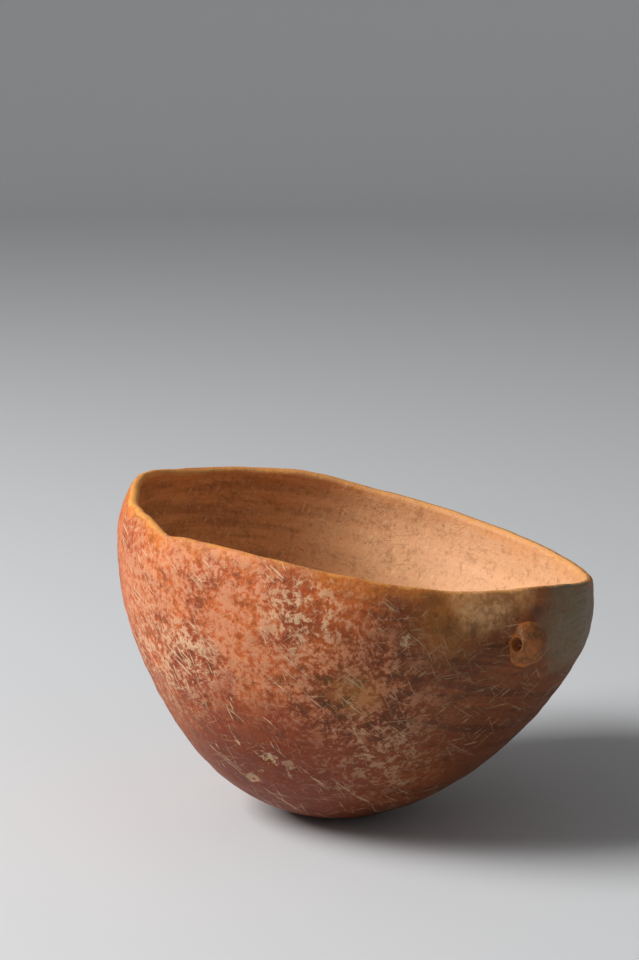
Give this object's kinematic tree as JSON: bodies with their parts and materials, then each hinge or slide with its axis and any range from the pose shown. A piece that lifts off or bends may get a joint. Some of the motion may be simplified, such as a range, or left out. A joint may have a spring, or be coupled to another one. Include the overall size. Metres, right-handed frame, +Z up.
{
  "type": "lugged pottery bowl",
  "caption": "Deep round-based hand-built pottery bowl with a thin uneven lip and a small pierced lug below it.",
  "frame": {"origin": "the point that the leaning bowl rests on, in the worn flat of its base", "axes": "+Z up; +X out through the lug; the bowl's own axis leans 13 degrees towards 50 degrees from +X to +Y"},
  "size_m": [0.1666, 0.1584, 0.1127],
  "materials": {
    "burnished_slip": "burnished red slip on fired clay, mottled and worn",
    "worn_lip": "slip worn to orange clay along the lip",
    "lug_slip": "burnished slip, half worn, with pale specks"
  },
  "bodies": {
    "root": {"base_pat": "burnished_slip", "wall_coil_1": "burnished_slip", "wall_coil_2": "burnished_slip", "wall_coil_3": "burnished_slip", "wall_coil_4": "burnished_slip", "wall_coil_5": "burnished_slip", "rim_coil": "worn_lip", "lug": "lug_slip", "lug_luting": "lug_slip"}
  },
  "joints": []
}
